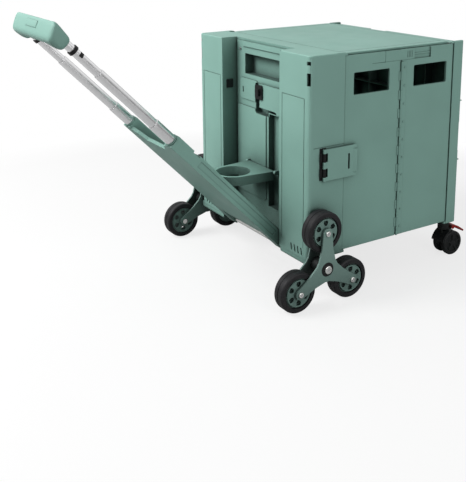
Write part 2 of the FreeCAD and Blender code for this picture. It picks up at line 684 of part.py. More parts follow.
def make_pedal():
    """Red brake pedal: ridged tread that slopes down past the wheels, two eyes and a pin."""
    px, pz = pedal_pivot()
    y = CASTER_Y
    half, slot, eye_r = 12.0, 3.6, 4.5
    outline = [(px + 2, pz + 4), (px + 16, pz - 1), (px + 34, pz - 13), (px + 32.5, pz - 16.5),
               (px + 15, pz - 5.5), (px + 2, pz - 1.5)]
    tread = prism(outline, "y", y - half, y + half)
    tread = tread.cut(box(px - 10, px + 6.5, y - slot, y + slot, pz - 12, pz + 12))
    eyes = [rod(eye_r, (px, y - half, pz), (px, y - slot, pz)),
            rod(eye_r, (px, y + slot, pz), (px, y + half, pz))]
    pin = rod(PEDAL_PIN_R, (px, y - half, pz), (px, y + half, pz))
    pedal = join([tread, pin] + eyes)
    ridge, depth = 1.6, 1.0
    for k in range(3):
        x, z = px + 18.0 + 5.0 * k, pz - 2.3 - 3.3 * k
        pedal = pedal.cut(box(x, x + ridge, y - half + 2, y + half - 2, z - depth, z + 6))
    return pedal


# ---------------------------------------------------------------- tri-star clusters

def star_points():
    """Wheel centres (x, z) and the direction of each arm."""
    points = []
    for angle in (90.0, 210.0, 330.0):
        a = math.radians(angle)
        points.append((AXLE_X + STAR_R * math.cos(a), AXLE_Z + STAR_R * math.sin(a), a))
    return points


def make_star_plate(y0, y1):
    hub_r, tip_r, root_half, waist_half, root, waist = 25.0, 10.5, 21.0, 13.5, 8.0, 0.55 * STAR_R
    side = [(root, root_half), (waist, waist_half), (STAR_R, tip_r)]
    arm = [(along, -across) for along, across in side] + side[::-1]
    parts = [rod(hub_r, (AXLE_X, y0, AXLE_Z), (AXLE_X, y1, AXLE_Z))]
    for x, z, a in star_points():
        cx, sx = math.cos(a), math.sin(a)
        outline = [(AXLE_X + along * cx - across * sx, AXLE_Z + along * sx + across * cx)
                   for along, across in arm]
        parts.append(prism(outline, "y", y0, y1))
        parts.append(rod(tip_r, (x, y0, z), (x, y1, z)))
    plate = join(parts)
    plate = plate.cut(rod(AXLE_R + RUN, (AXLE_X, y0 - 1, AXLE_Z), (AXLE_X, y1 + 1, AXLE_Z)))
    for x, z, _ in star_points():
        plate = plate.cut(rod(BOLT_R, (x, y0 - 1, z), (x, y1 + 1, z)))
    return plate


def make_star_hub():
    return tube(14.0, AXLE_R + RUN, (AXLE_X, INNER_PLATE_Y[1], AXLE_Z),
                (AXLE_X, OUTER_PLATE_Y[0], AXLE_Z))


def make_star_bolts():
    inner, outer = INNER_PLATE_Y[0], OUTER_PLATE_Y[1]
    head_r, head_t, nut_t = 5.4, 3.0, 1.6
    bolts = []
    for x, z, _ in star_points():
        shank = rod(BOLT_R, (x, inner - nut_t, z), (x, outer + 1, z))
        head = rod(head_r, (x, outer, z), (x, outer + head_t, z))
        head = round_edges(head, 1.2, lambda e: e.BoundBox.YMin > outer + head_t - 0.1)
        nut = rod(head_r, (x, inner - nut_t, z), (x, inner, z))
        bolts.append(join([shank, head, nut]))
    return bolts


def rim_window(x, z, middle):
    """One of the openings between the spokes, as a sector of a ring."""
    low, high = WHEEL_Y
    inner_r, outer_r, inner_turn, outer_turn, round_r = 14.0, 25.0, 15.0, 19.0, 1.6
    outline = []
    for radius, turn in ((inner_r, -inner_turn), (outer_r, -outer_turn), (outer_r, outer_turn),
                         (inner_r, inner_turn)):
        a = math.radians(middle + turn)
        outline.append((x + radius * math.cos(a), z + radius * math.sin(a)))
    sector = prism(outline, "y", low, high)
    return round_edges(sector, round_r, lambda e: runs_along(e, "y"))


def make_rim(x, z):
    low, high = WHEEL_Y
    boss_r, boss_gap, lip, dish_r = 9.0, 0.3, 3.5, 11.5
    web = tube(RIM_R, BOLT_R + RUN, (x, low + 3, z), (x, high - 6, z))
    for y0, y1 in ((high - 9, high), (low, low + 6)):
        web = web.cut(tube(RIM_R - lip, dish_r, (x, y0, z), (x, y1, z)))
    boss = tube(boss_r, BOLT_R + RUN, (x, INNER_PLATE_Y[1] + boss_gap, z),
                (x, OUTER_PLATE_Y[0] - boss_gap, z))
    rim = join([web, boss])
    windows = 6
    for k in range(windows):
        rim = rim.cut(rim_window(x, z, 360.0 / windows * k + 30.0))
    return rim


def make_tyre(x, z):
    low, high = WHEEL_Y
    shoulder, groove_half, groove_depth = 4.0, 1.0, 0.8
    ring = tube(WHEEL_R, RIM_R, (x, low, z), (x, high, z))
    ring = round_edges(ring, shoulder, lambda e: abs(e.BoundBox.XLength - 2 * WHEEL_R) < 0.1
                       and e.BoundBox.YLength < 0.1)
    middle = (low + high) / 2
    return ring.cut(tube(WHEEL_R + 1, WHEEL_R - groove_depth, (x, middle - groove_half, z),
                         (x, middle + groove_half, z)))


# ---------------------------------------------------------------- side latches

def latch_notches():
    """Height spans where the bracket knuckles stand between the latch's own."""
    low, high = LATCH_Z
    margin, span = 8.0, 17.0
    return [(low + margin, low + margin + span), (high - margin - span, high - margin)]


def make_latch():
    """Plate that swings round the front corner, with a flared finger edge and a tall slot."""
    x, y = LATCH_PIVOT
    low, high = LATCH_Z
    inner, outer, flare_y, end = y - 2.2, y + 1.8, y + 4.0, LATCH_END_X
    plate = box(x, end, inner, outer, low, high)
    plate = round_edges(plate, 5.0, lambda e: runs_along(e, "y") and e.Vertexes[0].X > x + 1)
    flare = prism([(end - 10, outer), (end - 3, flare_y), (end - 1, flare_y), (end - 1, y),
                   (end - 10, y)], "z", low + 8, high - 8)
    plate = join([plate, flare, rod(3.4, (x, y, low), (x, y, high))])
    for z0, z1 in latch_notches():
        plate = plate.cut(box(x - 6, x + 7, y - 6, y + 6, z0, z1))
    plate = plate.cut(box(end - 22, end - 18, y - 6, y + 6, low + 16, high - 16))
    return plate.cut(rod(LATCH_PIN_R, (x, y, low - 1), (x, y, high + 1)))


def make_latch_bracket():
    """Black hinge bracket on the shell: base plate, two knuckles and the latch pin."""
    x, y = LATCH_PIVOT
    low, high = LATCH_Z
    base_t, gap = 0.4, 0.3
    parts = [rod(LATCH_PIN_R - RUN, (x, y, low + 2), (x, y, high - 2)),
             box(x - 9, x + 6.5, HALF_W, HALF_W + base_t, low + 1, high + 2)]
    for z0, z1 in latch_notches():
        parts.append(rod(3.2, (x, y, z0 + gap), (x, y, z1 - gap)))
        parts.append(box(x - 3, x + 3, HALF_W, y, z0 + gap, z1 - gap))
        parts.append(box(x - 9, x - 4.5, HALF_W, HALF_W + 3, z0 + gap, z1 - gap))
    return join(parts)


# ---------------------------------------------------------------- handle

def recline(shapes):
    """Turn shapes that were built upright in the recess back about the main axle."""
    moved = []
    for shape in shapes:
        shape = shape.copy()
        shape.rotate(V(AXLE_X, 0, AXLE_Z), V(0, 1, 0), -RECLINE)
        moved.append(shape)
    return moved


def hx(depth):
    """x of a depth into the upright handle, measured from its outer face."""
    return AXLE_X - PANEL_FACE + depth


def hz(along):
    """z of a distance along the upright handle, measured from the main axle."""
    return AXLE_Z + along


def tubes(outer, inner, span):
    x = hx(TUBE_D)
    return both(tube(outer, inner, (x, TUBE_Y, hz(span[0])), (x, TUBE_Y, hz(span[1]))))


def handle_rail():
    """One channel-shaped rail with its rounded foot round the main axle."""
    top, foot_top, rail_low = PANEL_LEN, 30.0, 20.0
    rail = box(hx(0), hx(PANEL_DEPTH), RAIL_IN, RAIL_OUT, hz(rail_low), hz(top))
    rail = round_edges(rail, 3.0, lambda e: runs_along(e, "z") and e.Vertexes[0].X > hx(1))
    foot = prism([(hx(0), hz(foot_top)), (hx(PANEL_DEPTH), hz(foot_top)),
                  (AXLE_X + EYE_R, hz(2)), (hx(0), hz(0))], "y", RAIL_IN, RAIL_OUT)
    eye = rod(EYE_R, (AXLE_X, RAIL_IN, AXLE_Z), (AXLE_X, RAIL_OUT, AXLE_Z))
    eye = eye.common(box(hx(0), hx(PANEL_DEPTH), RAIL_IN, RAIL_OUT, hz(-2 * EYE_R), hz(2 * EYE_R)))
    return join([rail, foot, eye])


def make_handle_panel():
    """Two rails joined by a thin web with cross ribs and a scooped, thicker top."""
    top, half = PANEL_LEN, RAIL_IN + 1
    web_t, rib_t, scoop_t = 3.0, 5.0, 7.0
    web = box(hx(0), hx(web_t), -half, half, hz(45), hz(top - 46))
    ribs = [box(hx(0), hx(rib_t), -half, half, hz(z), hz(z + rib_t)) for z in (45.0, 150.0, 270.0)]
    right = [(half, top - 46), (half, top - 4), (60, top - 12), (40, top - 30)]
    scoop_line = [(-y, hz(z)) for y, z in right] + [(y, hz(z)) for y, z in reversed(right)]
    scoop = prism(scoop_line, "x", hx(0), hx(scoop_t))
    panel = join(both(handle_rail()) + [web, scoop] + ribs)
    x = hx(TUBE_D)
    cuts = both(rod(OUTER_TUBE_R, (x, TUBE_Y, hz(OUTER_TUBE_S[0])), (x, TUBE_Y, hz(top + 1))))
    # latch notch near the top of each rail and a shallow groove along its outer side
    notch_depth, notch_low, notch_high = 4.0, top - 62, top - 44
    cuts += both(box(hx(PANEL_DEPTH - notch_depth), hx(PANEL_DEPTH + 1), RAIL_IN + 3, RAIL_OUT + 1,
                     hz(notch_low), hz(notch_high)))
    groove_low, groove_high = (7.0, 19.0)
    cuts += both(box(hx(groove_low), hx(groove_high), RAIL_OUT - 1, RAIL_OUT + 1, hz(40),
                     hz(top - 70)))
    bore = AXLE_R + RUN
    cuts.append(rod(bore, (AXLE_X, -RAIL_OUT - 1, AXLE_Z), (AXLE_X, RAIL_OUT + 1, AXLE_Z)))
    return panel.cut(Part.makeCompound(cuts))


def make_rings(radius_in, radius_out, span):
    x = hx(TUBE_D)
    return both(tube(radius_out, radius_in, (x, TUBE_Y, hz(span[0])), (x, TUBE_Y, hz(span[1]))))


def grip_outline():
    """Side outline of the grip in (depth, along): flat foot, slanted top, highest at the front."""
    foot = GRIP_S
    return [(-2.6, foot), (-7, foot + 33), (-5, foot + 39), (8, foot + 47), (20, foot + 53.5),
            (26, foot + 55), (28, foot + 49), (23, foot)]


def slant_height(depth):
    """Height of the grip's slanted top at a depth between its two middle corners."""
    return GRIP_S + 47 + (depth - 8) * 6.5 / 12


def make_grip():
    outline = [(hx(d), hz(s)) for d, s in grip_outline()]
    bar = prism(outline, "y", -RAIL_OUT, RAIL_OUT)
    bar = round_edges(bar, 4.0, lambda e: e.BoundBox.YLength < 0.1)
    hand_half, hand_top = RAIL_IN - 4, GRIP_S + 22
    opening = rounded_box(hx(-15), hx(40), -hand_half, hand_half, hz(GRIP_S - 30), hz(hand_top),
                          8.0, "x")
    bar = bar.cut(opening)
    x = hx(TUBE_D)
    socket = rod(INNER_TUBE_R, (x, TUBE_Y, hz(GRIP_S - 20)), (x, TUBE_Y, hz(INNER_TUBE_S[1])))
    for hole in both(socket):
        bar = bar.cut(hole)
    play, half = 0.2, BUTTON_HALF + 0.2
    well = box(hx(BUTTON_DEPTH[0] - play), hx(BUTTON_DEPTH[1] + play), -half, half,
               hz(GRIP_S + 33), hz(GRIP_S + 70))
    bar = bar.cut(well)
    behind = box(hx(-20), hx(GRIP_SPLIT), -150, 150, hz(GRIP_S - 50), hz(GRIP_S + 100))
    return bar.common(behind), bar.cut(behind)


def make_grip_button():
    """Release button across the middle of the grip, its top parallel to the slant."""
    d0, d1 = BUTTON_DEPTH
    proud, foot = 1.5, hz(GRIP_S + 38)
    outline = [(hx(d0), foot), (hx(d0), hz(slant_height(d0) + proud)),
               (hx(d1), hz(slant_height(d1) + proud)), (hx(d1), foot)]
    button = prism(outline, "y", -BUTTON_HALF, BUTTON_HALF)
    top_corner = hz(slant_height(d0))
    return round_edges(button, 1.2, lambda e: e.BoundBox.ZMin > top_corner)


# ---------------------------------------------------------------- cup holder

def make_cup_holder():
    """Ring and arm; the back edge is rounded about the pins so that it can swing up."""
    px, pz = CUP_PIVOT
    top = pz + 2.5
    low = top - CUP_T
    r_out, arm_half, back_r = CUP_R + 7, 49.0, 2.5
    ring = rod(r_out, (CUP_CENTRE_X, 0, low), (CUP_CENTRE_X, 0, top))
    root = px - 8
    side = [(CUP_CENTRE_X, r_out), (root, arm_half), (px, arm_half)]
    arm = prism([(x, -y) for x, y in side] + side[::-1], "z", low, top)
    body = join([ring, arm])
    body = body.cut(rod(CUP_R, (CUP_CENTRE_X, 0, low - 1), (CUP_CENTRE_X, 0, top + 1)))
    hollow_half, skin = 42.0, 3.0
    body = body.cut(box(CUP_CENTRE_X + CUP_R + 6, root, -hollow_half, hollow_half, low - 1,
                        top - skin))
    corner = box(px - back_r - 0.1, px + 5, -60, 60, low - 1, pz)
    body = body.cut(corner.cut(rod(back_r, (px, -60, pz), (px, 60, pz))))
    body = body.cut(box(px, px + 9, -60, 60, low - 2, top + 2))
    body = join([body, rod(back_r, (px, -arm_half, pz), (px, arm_half, pz))])
    for pin in both(rod(CUP_PIN_R + RUN, (px, 41, pz), (px, 50, pz))):
        body = body.cut(pin)
    return body


# ---------------------------------------------------------------- build and export

def make_main_axle():
    half, cap_r, cap_t = 249.5, 8.0, 4.0
    axle = rod(AXLE_R, (AXLE_X, -half, AXLE_Z), (AXLE_X, half, AXLE_Z))
    end = half - 0.5 + cap_t
    cap = rod(cap_r, (AXLE_X, half - 0.5, AXLE_Z), (AXLE_X, end, AXLE_Z))
    cap = round_edges(cap, 1.5, lambda e: e.BoundBox.YMin > end - 0.1)
    return join([axle] + both(cap))


def build_crate():
    export("rear_shell", make_rear_shell())
    export("recess_panel", make_recess_panel())
    export("panel_catches", make_catches())
    export("recess_screws", screws())
    export("rear_hinge_pins", rear_pins())
    export("latch_brackets", both(make_latch_bracket()))
    export("main_axle", make_main_axle())
    export("lid", make_lid())
    export("floor_board", make_floor())
    export("front_shell", make_front_shell())
    export("front_reflector", make_reflector())
    export("front_hinge_pins", front_pins())
    export("caster_sockets", make_caster_sockets())
    export("cup_holder", make_cup_holder())


def build_sides():
    makers = {
        "side_panel_rear": make_rear_side,
        "side_panel_front": make_front_side,
        "mid_hinge_strip": make_hinge_strip,
        "bridge_lock": make_bridge_lock,
        "side_latch": make_latch,
    }
    for name, maker in makers.items():
        shape = maker()
        export(name + "_left", shape)
        export(name + "_right", mirror(shape))


def build_handle():
    collar_span = (PANEL_LEN, PANEL_LEN + 3)
    back, front = make_grip()
    parts = {
        "handle_panel": [make_handle_panel()],
        "outer_tubes": tubes(OUTER_TUBE_R, OUTER_TUBE_R - TUBE_WALL, OUTER_TUBE_S),
        "outer_collars": make_rings(OUTER_TUBE_R, OUTER_TUBE_R + 1.8, collar_span),
        "mid_tubes": tubes(MID_TUBE_R, MID_TUBE_R - TUBE_WALL, MID_TUBE_S),
        "inner_tubes": tubes(INNER_TUBE_R, INNER_TUBE_R - TUBE_WALL, INNER_TUBE_S),
        "tube_rings": make_rings(INNER_TUBE_R, INNER_TUBE_R + 2, RING_S),
        "grip_back": [back],
        "grip_front": [front],
        "grip_button": [make_grip_button()],
    }
    for name, shapes in parts.items():
        export(name, recline(shapes))


def build_wheels():
    for side, place in (("left", lambda shape: shape), ("right", mirror)):
        export("star_outer_plate_" + side, place(make_star_plate(*OUTER_PLATE_Y)))
        export("star_inner_plate_" + side, place(make_star_plate(*INNER_PLATE_Y)))
        export("star_hub_" + side, place(make_star_hub()))
        export("star_bolts_" + side, [place(bolt) for bolt in make_star_bolts()])
        for label, (x, z, _) in zip(("top", "rear", "front"), star_points()):
            export("rim_" + side + "_" + label, place(make_rim(x, z)))
            export("tyre_" + side + "_" + label, place(make_tyre(x, z)))
        export("caster_fork_" + side, place(make_caster_fork()))
        export("caster_wheels_" + side, place(make_caster_wheels()))
        export("caster_pedal_" + side, place(make_pedal()))


build_crate()
build_sides()
build_handle()
build_wheels()
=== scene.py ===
"""Looks for the collapsible stair-climbing crate trolley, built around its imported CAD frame."""

import json
import math

import bmesh
import bpy
from mathutils import Matrix, Vector


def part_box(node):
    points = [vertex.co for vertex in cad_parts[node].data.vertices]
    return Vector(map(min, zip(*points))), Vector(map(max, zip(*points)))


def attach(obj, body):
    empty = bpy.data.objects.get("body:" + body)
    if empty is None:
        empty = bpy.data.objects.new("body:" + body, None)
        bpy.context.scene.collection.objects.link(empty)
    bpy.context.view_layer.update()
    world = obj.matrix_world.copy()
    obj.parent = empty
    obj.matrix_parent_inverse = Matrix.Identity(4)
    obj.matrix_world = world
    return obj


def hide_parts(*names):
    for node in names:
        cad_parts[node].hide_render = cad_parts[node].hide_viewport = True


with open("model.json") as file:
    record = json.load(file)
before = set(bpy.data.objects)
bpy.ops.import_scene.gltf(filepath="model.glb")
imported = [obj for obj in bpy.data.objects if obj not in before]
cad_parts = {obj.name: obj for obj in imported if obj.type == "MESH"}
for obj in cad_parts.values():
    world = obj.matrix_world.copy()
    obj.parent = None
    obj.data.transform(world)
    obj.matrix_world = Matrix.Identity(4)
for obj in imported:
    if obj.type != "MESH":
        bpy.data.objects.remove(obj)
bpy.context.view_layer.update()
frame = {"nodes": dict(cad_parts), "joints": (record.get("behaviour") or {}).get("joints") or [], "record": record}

MM = 0.001
X_AXIS, Y_AXIS, Z_AXIS = Vector((1, 0, 0)), Vector((0, 1, 0)), Vector((0, 0, 1))
SIDES = (("left", 1), ("right", -1))
WHEELS = ("top", "rear", "front")

# the telescopic handle's direction, and the depth direction across its tubes
JOINTS = {joint["name"]: joint for joint in frame["joints"]}
TUBE_LINE = Vector(JOINTS["mid_tube_slide"]["axis"])
TUBE_DEPTH = Vector((TUBE_LINE.z, 0, -TUBE_LINE.x))
RECLINE = math.atan2(-TUBE_LINE.x, TUBE_LINE.z)

# colours, linear
GREEN = (0.283, 0.500, 0.432)
GREEN_PLATE = (0.235, 0.370, 0.330)
GREEN_RIM = (0.200, 0.320, 0.285)
BLACK = (0.008, 0.008, 0.009)
RUBBER = (0.010, 0.010, 0.012)
# near-black grey painted into corners and recesses as shade
PAINTED_SHADE = (0.016, 0.020, 0.019)
DUST = (0.080, 0.078, 0.075)
SCUFF = (0.62, 0.62, 0.62)
ALUMINIUM = (0.86, 0.86, 0.87)
CHROME = (0.82, 0.82, 0.80)
STEEL = (0.62, 0.62, 0.63)
RED = (0.42, 0.018, 0.014)
FOIL_DARK, FOIL_LIGHT = (0.48, 0.50, 0.50), (0.74, 0.76, 0.76)


# ---------------------------------------------------------------- node helpers

def shade(colour, factor):
    return tuple(min(1.0, channel * factor) for channel in colour)


def blend(first, second, share):
    return tuple(a * (1 - share) + b * share for a, b in zip(first, second))


def grey(value):
    return (value, value, value)


class Nodes:
    """Adds and links the nodes of one shader tree."""

    def __init__(self, tree):
        self.tree = tree
        self.tree.nodes.clear()

    def add(self, kind, **settings):
        node = self.tree.nodes.new(kind)
        for key, value in settings.items():
            setattr(node, key, value)
        return node

    def link(self, source, target):
        self.tree.links.new(source, target)

    def plug(self, value, target):
        """Link an output, or set a colour or a number."""
        if isinstance(value, bpy.types.NodeSocket):
            self.link(value, target)
        elif isinstance(value, tuple):
            target.default_value = (*value, 1.0)
        else:
            target.default_value = value

    def ramp(self, source, stops):
        """Colour ramp between two stops, each a place and a grey value or colour."""
        node = self.add("ShaderNodeValToRGB")
        for point, (place, value) in zip(node.color_ramp.elements, stops):
            point.position = place
            point.color = (*(value if isinstance(value, tuple) else grey(value)), 1.0)
        self.link(source, node.inputs["Fac"])
        return node.outputs["Color"]

    def mix(self, factor, first, second):
        node = self.add("ShaderNodeMix", data_type="RGBA")
        start, end = (socket for socket in node.inputs if socket.type == "RGBA")
        self.plug(factor, node.inputs[0])
        self.plug(first, start)
        self.plug(second, end)
        return next(socket for socket in node.outputs if socket.type == "RGBA")

    def mix_shaders(self, factor, first, second):
        node = self.add("ShaderNodeMixShader")
        for value, socket in zip((factor, first, second), node.inputs):
            self.link(value, socket)
        return node.outputs["Shader"]

    def maths(self, operation, first, second=0.0):
        node = self.add("ShaderNodeMath", operation=operation)
        self.plug(first, node.inputs[0])
        self.plug(second, node.inputs[1])
        return node.outputs[0]


class Surface(Nodes):
    """The node tree of one material, around a Principled shader."""

    def __init__(self, name):
        self.material = bpy.data.materials.new(name)
        self.material.use_nodes = True
        super().__init__(self.material.node_tree)
        self.shader = self.add("ShaderNodeBsdfPrincipled")
        self.output = self.add("ShaderNodeOutputMaterial")
        self.link(self.shader.outputs["BSDF"], self.output.inputs["Surface"])
        self.place = self.add("ShaderNodeTexCoord").outputs["Object"]

    def set(self, **values):
        for key, value in values.items():
            self.plug(value, self.shader.inputs[key.replace("_", " ")])

    def noise(self, scale, detail=3.0, roughness=0.5, stretch=None, turn=0.0):
        """Noise per metre of the part; stretch multiplies it along x, y and z after the turn."""
        source = self.place
        if stretch:
            mapping = self.add("ShaderNodeMapping")
            mapping.inputs["Scale"].default_value = stretch
            mapping.inputs["Rotation"].default_value = (0.0, turn, 0.0)
            self.link(source, mapping.inputs["Vector"])
            source = mapping.outputs["Vector"]
        node = self.add("ShaderNodeTexNoise")
        node.inputs["Scale"].default_value = scale
        node.inputs["Detail"].default_value = detail
        node.inputs["Roughness"].default_value = roughness
        self.link(source, node.inputs["Vector"])
        return node.outputs["Fac"]

    def edges(self, radius):
        """Rises from 0 along the part's edges; also returns the softened normal."""
        sharpness = 3.0
        bevel = self.add("ShaderNodeBevel", samples=4)
        bevel.inputs["Radius"].default_value = radius
        plain = self.add("ShaderNodeNewGeometry")
        dot = self.add("ShaderNodeVectorMath", operation="DOT_PRODUCT")
        self.link(bevel.outputs["Normal"], dot.inputs[0])
        self.link(plain.outputs["Normal"], dot.inputs[1])
        lost = self.maths("SUBTRACT", 1.0, dot.outputs["Value"])
        return self.maths("MULTIPLY", lost, sharpness), bevel.outputs["Normal"]

    def shelter(self, distance):
        """Painted shade mask from ambient occlusion: 0 in the open, 1 deep in corners and recesses."""
        node = self.add("ShaderNodeAmbientOcclusion", samples=6)
        node.inputs["Distance"].default_value = distance
        return self.ramp(node.outputs["AO"], ((0.3, 1.0), (0.95, 0.0)))

    def bump(self, height, strength, distance, normal=None):
        node = self.add("ShaderNodeBump")
        node.inputs["Strength"].default_value = strength
        node.inputs["Distance"].default_value = distance
        self.link(height, node.inputs["Height"])
        if normal:
            self.link(normal, node.inputs["Normal"])
        self.link(node.outputs["Normal"], self.shader.inputs["Normal"])


# ---------------------------------------------------------------- materials

def moulded(name, colour, roughness=0.5, grain=1.0, wear=0.35, shade_strength=0.9):
    """Injection-moulded plastic: eroded grain, faint flow variation, paler scuffed edges and
    painted shade that darkens its corners and recesses."""
    n = Surface(name)
    edge, soft = n.edges(1.1 * MM)
    flow = n.ramp(n.noise(9.0, 2.0), ((0.3, shade(colour, 0.95)), (0.7, shade(colour, 1.04))))
    # painted shade: ambient occlusion darkens the colour towards near-black grey in corners and recesses
    shaded = n.mix(n.maths("MULTIPLY", n.shelter(0.12), shade_strength), flow, PAINTED_SHADE)
    scuffed = n.ramp(n.noise(160.0, 4.0, 0.7), ((0.52, 0.0), (0.68, 1.0)))
    worn = n.maths("MULTIPLY", n.maths("MULTIPLY", edge, scuffed), wear)
    smudged = n.ramp(n.noise(26.0), ((0.3, roughness - 0.05), (0.7, roughness + 0.07)))
    n.set(Base_Color=n.mix(worn, shaded, blend(colour, SCUFF, 0.45)), Roughness=smudged)
    n.set(IOR=1.48, Specular_IOR_Level=0.25)
    n.bump(n.noise(1700.0, 2.0, 0.6), 0.22 * grain, 0.12 * MM, soft)
    return n.material


def rubber(name, colour):
    """Tyre rubber: dull, with faint patches of dust."""
    n = Surface(name)
    _, soft = n.edges(0.8 * MM)
    dusty = n.ramp(n.noise(70.0, 4.0, 0.65), ((0.45, 0.0), (0.75, 1.0)))
    n.set(Base_Color=n.mix(n.maths("MULTIPLY", dusty, 0.2), colour, DUST))
    n.set(Roughness=n.ramp(dusty, ((0.0, 0.5), (1.0, 0.72))), Specular_IOR_Level=0.3)
    n.bump(n.noise(900.0), 0.35, 0.15 * MM, soft)
    return n.material


def drawn_metal(name, colour, roughness, turn=0.0, streak=(900.0, 900.0, 12.0)):
    """Drawn or polished metal with fine lines along the part's length."""
    n = Surface(name)
    _, soft = n.edges(0.4 * MM)
    lines = n.noise(1.0, 4.0, stretch=streak, turn=turn)
    worn = n.ramp(n.noise(40.0), ((0.3, roughness), (0.75, roughness + 0.12)))
    n.set(Base_Color=n.ramp(lines, ((0.3, shade(colour, 0.88)), (0.7, colour))))
    n.set(Roughness=worn, Metallic=1.0)
    n.bump(lines, 0.08, 0.05 * MM, soft)
    return n.material


def retroreflector(name):
    """Silver prismatic reflector foil."""
    n = Surface(name)
    cells = n.add("ShaderNodeTexVoronoi", distance="CHEBYCHEV")
    cells.inputs["Scale"].default_value = 420.0
    n.link(n.place, cells.inputs["Vector"])
    prisms = cells.outputs["Distance"]
    n.set(Base_Color=n.ramp(prisms, ((0.0, FOIL_DARK), (0.6, FOIL_LIGHT))))
    n.set(Metallic=0.6, Roughness=0.28)
    n.bump(prisms, 0.5, 0.3 * MM)
    return n.material


MATERIALS = {
    "green_plastic": moulded("green_moulded_plastic", GREEN),
    "green_plate": moulded("green_star_plate", GREEN_PLATE, 0.42, 0.7),
    # less painted shade in the recesses of the wheel rims
    "green_rim": moulded("green_wheel_rim", GREEN_RIM, 0.45, 0.7, shade_strength=0.5),
    "tyre_rubber": rubber("tyre_rubber", RUBBER),
    "black_plastic": moulded("black_moulded_plastic", BLACK, 0.42, 0.8, 0.2),
    "tube_aluminium": drawn_metal("tube_aluminium", ALUMINIUM, 0.16, turn=RECLINE),
    "bolt_chrome": drawn_metal("bolt_chrome", CHROME, 0.12, streak=(60.0, 60.0, 60.0)),
    "pin_steel": drawn_metal("pin_steel", STEEL, 0.28),
    "red_plastic": moulded("red_pedal_plastic", RED, 0.38, 0.6, 0.25),
    "reflector_grey": retroreflector("silver_reflector"),
}


def dress_nodes():
    """Give every CAD node the material of its record slot."""
    slots = {part["node"]: part["material_slot"] for part in frame["record"]["subparts"]}
    for name, obj in frame["nodes"].items():
        obj.data.materials.clear()
        obj.data.materials.append(MATERIALS[slots[name]])


# ---------------------------------------------------------------- mesh helpers

def add_object(name, data):
    obj = bpy.data.objects.new(name, data)
    bpy.context.scene.collection.objects.link(obj)
    return obj


def new_mesh(name, points, faces, material):
    mesh = bpy.data.meshes.new(name)
    mesh.from_pydata(points, [], faces)
    mesh.materials.append(material)
    return mesh


def new_piece(name, points, faces, body, slot):
    """A piece in a slot's material that rides on a body."""
    obj = add_object(name, new_mesh(name, points, faces, MATERIALS[slot]))
    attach(obj, body)
    return obj


def lofted_piece(name, rings, body, slot, wrap=False, smooth=False):
    """A closed skin over equally long rings: capped at both ends, or with wrap the last ring
    meets the first."""
    count = len(rings[0])
    points = [point for ring in rings for point in ring]
    faces = []
    for k in range(len(rings) if wrap else len(rings) - 1):
        near, far = k * count, (k + 1) % len(rings) * count
        for i in range(count):
            j = (i + 1) % count
            faces.append((near + i, near + j, far + j, far + i))
    if not wrap:
        last = len(points) - count
        faces += [tuple(reversed(range(count))), tuple(range(last, last + count))]
    piece = new_piece(name, points, faces, body, slot)
    shape = bmesh.new()
    shape.from_mesh(piece.data)
    bmesh.ops.recalc_face_normals(shape, faces=shape.faces)
    for face in shape.faces:
        face.smooth = smooth
    shape.to_mesh(piece.data)
    shape.free()
    return piece


def arc(centre, radius, across, up, sides, start=0.0, span=math.tau):
    """Points on a circle, or with span on a part of it, round centre."""
    steps = sides if span == math.tau else sides - 1
    points = []
    for i in range(sides):
        angle = start + span * i / steps
        points.append(centre + radius * (across * math.cos(angle) + up * math.sin(angle)))
    return points


def turned_rings(centre, sign, profile, sides):
    """Rings round a y axis; profile gives each radius and its rise off the centre, in mm."""
    return [arc(centre + Y_AXIS * sign * rise * MM, radius * MM, X_AXIS, Z_AXIS, sides)
            for radius, rise in profile]


def outer_face(node, joint, sign):
    """Point on a joint's axis, level with the node's outermost face on that side."""
    low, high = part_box(node)
    x, _, z = JOINTS[joint]["pos_m"]
    return Vector((x, high.y if sign > 0 else low.y, z))


def half_width(node):
    """Half of a node's size along y, in mm."""
    low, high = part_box(node)
    return (high.y - low.y) / 2 / MM


def middle(node):
    low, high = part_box(node)
    return (low + high) / 2


def rounded(corners, radius, steps=5):
    """Closed outline with each corner turned into a smooth curve."""
    side_share = 0.48
    outline = []
    for i, corner in enumerate(corners):
        before = Vector(corners[i - 1]) - Vector(corner)
        after = Vector(corners[(i + 1) % len(corners)]) - Vector(corner)
        start = before.normalized() * min(radius, before.length * side_share)
        end = after.normalized() * min(radius, after.length * side_share)
        for k in range(steps + 1):
            t = k / steps
            outline.append(Vector(corner) + start * (1 - t) ** 2 + end * t ** 2)
    return outline


# ---------------------------------------------------------------- washers, bolts, stop buttons

def axle_washers():
    """Dark washer behind each axle cap, on the outer star plate."""
    low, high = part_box("main_axle")
    cap_r = (high.x - low.x) / 2 / MM
    profile = ((cap_r + 6, 0.02), (cap_r + 5.4, 0.42), (cap_r - 0.6, 0.45), (cap_r - 0.6, 0.02))
    for side, sign in SIDES:
        centre = outer_face("star_outer_plate_" + side, "star_" + side + "_spin", sign)
        rings = turned_rings(centre, sign, profile, 48)
        lofted_piece("axle_washer_" + side, rings, "rear_body", "black_plastic", wrap=True)


def hex_socket(name, centre, sign, radius, body):
    """Steel hexagon socket with a low collar, set in the head of a bolt."""
    profile = ((radius + 0.9, -0.2), (radius + 0.7, 0.25), (radius, 0.25), (radius * 0.96, 0.06))
    lofted_piece("hex_socket_" + name, turned_rings(centre, sign, profile, 6), body, "pin_steel")


def hex_sockets():
    """Sockets in the axle caps and in the wheel bolts."""
    axle_socket_r, wheel_socket_r = 3.4, 2.3
    for side, sign in SIDES:
        star = "star_" + side
        centre = outer_face("main_axle", star + "_spin", sign)
        hex_socket(side + "_axle", centre, sign, axle_socket_r, "rear_body")
        for wheel in WHEELS:
            centre = outer_face("star_bolts_" + side, f"wheel_{side}_{wheel}_spin", sign)
            hex_socket(side + "_" + wheel, centre, sign, wheel_socket_r, star)


